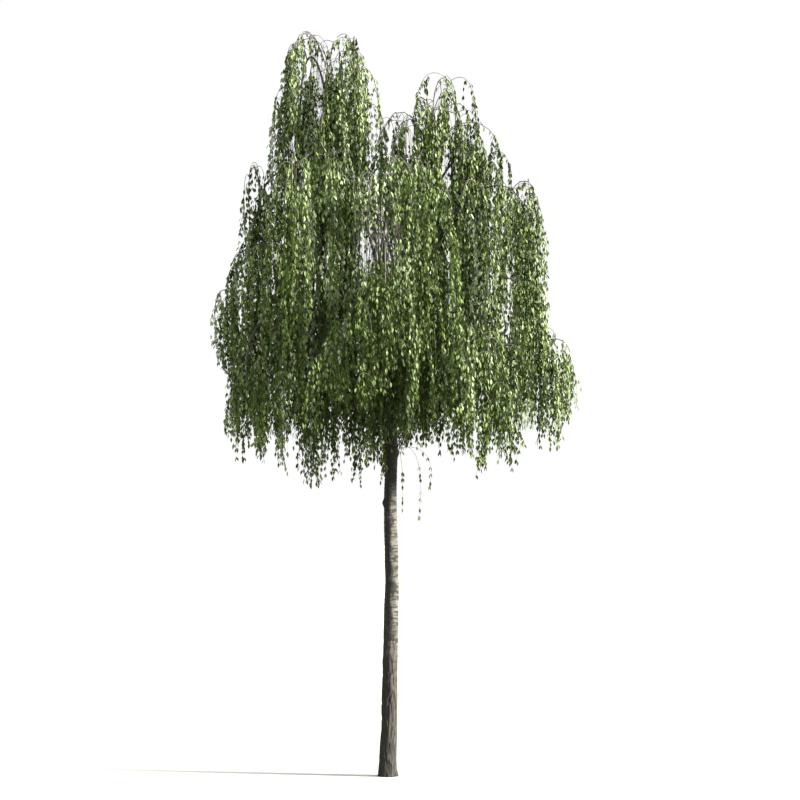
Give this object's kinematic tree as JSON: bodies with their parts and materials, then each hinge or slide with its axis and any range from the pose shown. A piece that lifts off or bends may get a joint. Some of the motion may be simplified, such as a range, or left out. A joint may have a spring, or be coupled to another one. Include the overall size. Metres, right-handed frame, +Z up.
{
  "type": "weeping birch tree",
  "caption": "Whole weeping birch in full summer leaf, rooted in the ground: a slim bare trunk forks into upright leaders whose arching boughs carry hanging curtains of small leaves.",
  "frame": {"origin": "The middle of the flat cut under the trunk, at ground level.", "axes": "+Z is up along the trunk. -Y faces the viewer of the picture, and +X is to that viewer's right."},
  "size_m": [5.0087, 5.1344, 9.9835],
  "materials": {
    "bark": "pale grey bark with dark level bands, furrowed at the foot",
    "young_bark": "smooth grey-brown bark of young limbs",
    "leaves": "mid green summer leaves on thin brown twigs"
  },
  "bodies": {
    "root": {"trunk": "bark", "back_leader": "bark", "front_leader": "bark", "left_leader": "bark", "right_leader": "bark", "inner_1_bough": "young_bark", "inner_2_bough": "young_bark", "inner_3_bough": "young_bark", "left_tower_1_bough": "young_bark", "left_tower_2_bough": "young_bark", "middle_1_bough": "young_bark", "middle_2_bough": "young_bark", "middle_3_bough": "young_bark", "middle_4_bough": "young_bark", "middle_5_bough": "young_bark", "right_tower_1_bough": "young_bark", "shoulder_1_bough": "young_bark", "shoulder_2_bough": "young_bark", "shoulder_3_bough": "young_bark", "shoulder_4_bough": "young_bark", "shoulder_5_bough": "young_bark", "shoulder_6_bough": "young_bark", "shoulder_7_bough": "young_bark", "skirt_1_bough": "young_bark", "skirt_2_bough": "young_bark", "skirt_3_bough": "young_bark", "skirt_4_bough": "young_bark", "skirt_5_bough": "young_bark", "skirt_6_bough": "young_bark", "skirt_7_bough": "young_bark", "back_top_leaves": "leaves", "front_top_leaves": "leaves", "inner_1_leaves": "leaves", "inner_2_leaves": "leaves", "inner_3_leaves": "leaves", "left_top_leaves": "leaves", "left_tower_1_leaves": "leaves", "left_tower_2_leaves": "leaves", "middle_1_leaves": "leaves", "middle_2_leaves": "leaves", "middle_3_leaves": "leaves", "middle_4_leaves": "leaves", "middle_5_leaves": "leaves", "right_top_leaves": "leaves", "right_tower_1_leaves": "leaves", "shoulder_1_leaves": "leaves", "shoulder_2_leaves": "leaves", "shoulder_3_leaves": "leaves", "shoulder_4_leaves": "leaves", "shoulder_5_leaves": "leaves", "shoulder_6_leaves": "leaves", "shoulder_7_leaves": "leaves", "skirt_1_leaves": "leaves", "skirt_2_leaves": "leaves", "skirt_3_leaves": "leaves", "skirt_4_leaves": "leaves", "skirt_5_leaves": "leaves", "skirt_6_leaves": "leaves", "skirt_7_leaves": "leaves", "trunk_sprig_leaves": "leaves"}
  },
  "joints": []
}
